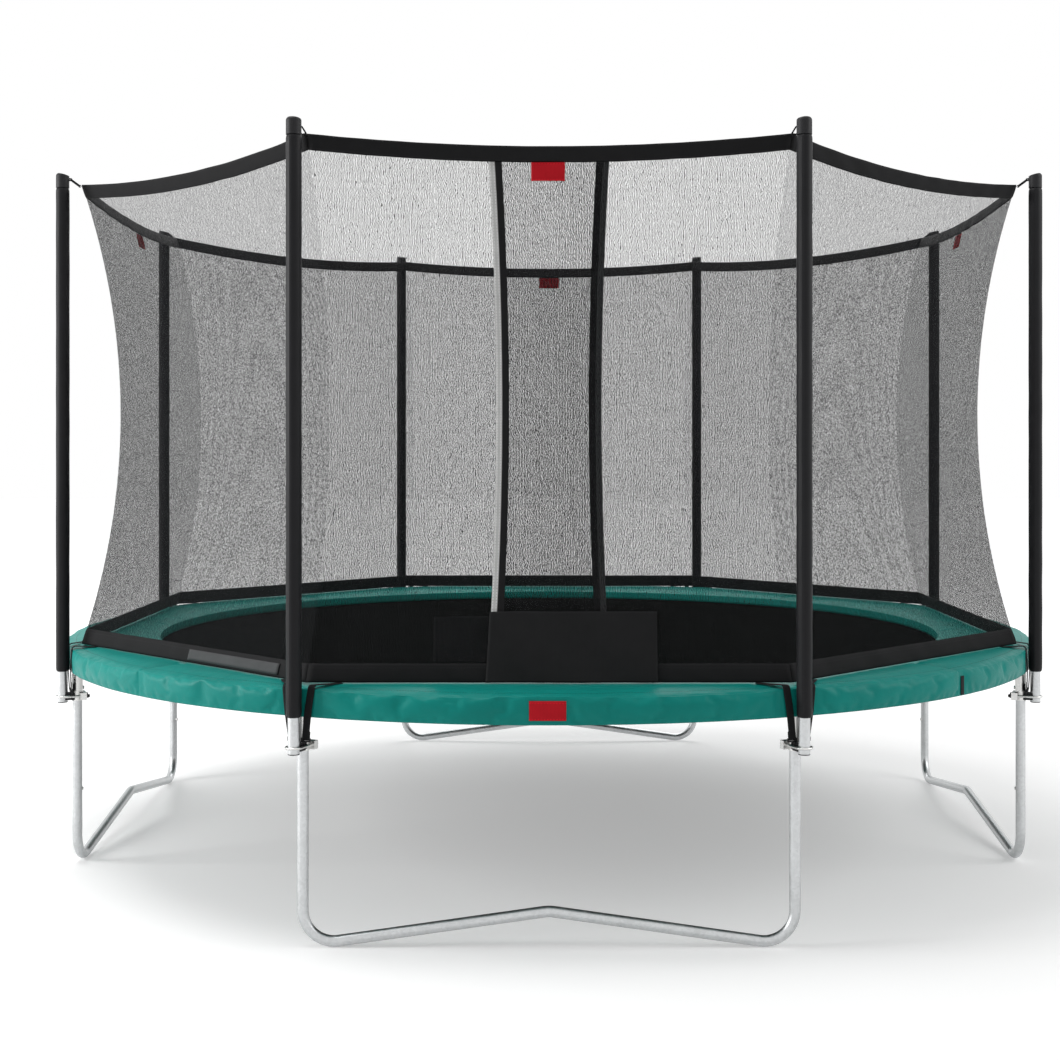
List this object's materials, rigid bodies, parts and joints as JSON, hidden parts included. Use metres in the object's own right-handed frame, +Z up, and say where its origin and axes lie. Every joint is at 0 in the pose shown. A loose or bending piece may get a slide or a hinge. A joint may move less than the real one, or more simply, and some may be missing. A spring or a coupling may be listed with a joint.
{
  "type": "garden trampoline",
  "caption": "Round garden trampoline on W shaped tube legs, with a sprung mat, a green edge pad and a net with an overlapping slit entrance that hangs from capped, sleeved poles.",
  "frame": {"origin": "on the ground, under the middle of the mat", "axes": "+Z up; the entrance faces -Y; +X is to the right as seen from the entrance side"},
  "size_m": [3.8054, 3.8054, 2.5182],
  "materials": {
    "galvanised_tube": "galvanised, satin",
    "zinc_joint": "zinc plated, satin",
    "spring_steel": "bright zinc",
    "black_plastic": "moulded, matte",
    "foam_sleeve": "black cover over foam",
    "mat_weave": "tight woven, matte",
    "black_webbing": "ribbed webbing",
    "pad_cover": "coated cloth, low sheen",
    "net_mesh": "open knit",
    "elastic_cord": "braided elastic"
  },
  "bodies": {
    "frame": {"ring_tube_1": "galvanised_tube", "ring_tube_2": "galvanised_tube", "ring_tube_3": "galvanised_tube", "ring_tube_4": "galvanised_tube", "ring_tube_5": "galvanised_tube", "ring_tube_6": "galvanised_tube", "ring_tube_7": "galvanised_tube", "ring_tube_8": "galvanised_tube", "t_joint_1": "zinc_joint", "t_joint_2": "zinc_joint", "t_joint_3": "zinc_joint", "t_joint_4": "zinc_joint", "t_joint_5": "zinc_joint", "t_joint_6": "zinc_joint", "t_joint_7": "zinc_joint", "t_joint_8": "zinc_joint", "leg_upright_1": "galvanised_tube", "leg_upright_2": "galvanised_tube", "leg_upright_3": "galvanised_tube", "leg_upright_4": "galvanised_tube", "leg_upright_5": "galvanised_tube", "leg_upright_6": "galvanised_tube", "leg_upright_7": "galvanised_tube", "leg_upright_8": "galvanised_tube", "leg_base_1": "galvanised_tube", "leg_base_2": "galvanised_tube", "leg_base_3": "galvanised_tube", "leg_base_4": "galvanised_tube", "net_pole_1": "galvanised_tube", "net_pole_2": "galvanised_tube", "net_pole_3": "galvanised_tube", "net_pole_4": "galvanised_tube", "net_pole_5": "galvanised_tube", "net_pole_6": "galvanised_tube", "net_pole_7": "galvanised_tube", "net_pole_8": "galvanised_tube", "pole_sleeves": "foam_sleeve", "pole_caps": "black_plastic", "pole_end_plugs": "black_plastic", "clamp_u_bolts": "zinc_joint", "clamp_spacers": "black_plastic", "clamp_bars": "zinc_joint", "clamp_nuts": "black_plastic", "leg_screws": "zinc_joint", "springs": "spring_steel", "safety_pad": "pad_cover", "pad_skirt": "pad_cover", "net_walls": "net_mesh", "net_top_band": "black_webbing", "net_bottom_band": "black_webbing", "top_ties": "elastic_cord", "bottom_straps": "black_webbing", "strap_hooks": "black_plastic"},
    "mat": {"jumping_mat": "mat_weave", "mat_hem": "black_webbing", "d_rings": "spring_steel"},
    "door_outer": {"door_outer_net": "net_mesh", "door_outer_trim": "black_webbing"},
    "door_inner": {"door_inner_net": "net_mesh", "door_inner_trim": "black_webbing"}
  },
  "joints": [
    {"name": "mat_bounce", "type": "slide", "parent": "frame", "child": "mat", "axis": [0, 0, 1], "range_m": [-0.3, 0], "stiffness_N_per_m": 5000, "springref_m": 0.015, "deforming": ["springs"]},
    {"name": "outer_flap", "type": "hinge", "parent": "frame", "child": "door_outer", "pos_m": [0.37, -1.716, 1.64], "axis": [0, 0, 1], "range_deg": [0, 70], "stiffness_Nm_per_rad": 0.6},
    {"name": "inner_flap", "type": "hinge", "parent": "frame", "child": "door_inner", "pos_m": [-0.37, -1.574, 1.64], "axis": [0, 0, 1], "range_deg": [0, 70], "stiffness_Nm_per_rad": 0.6}
  ]
}
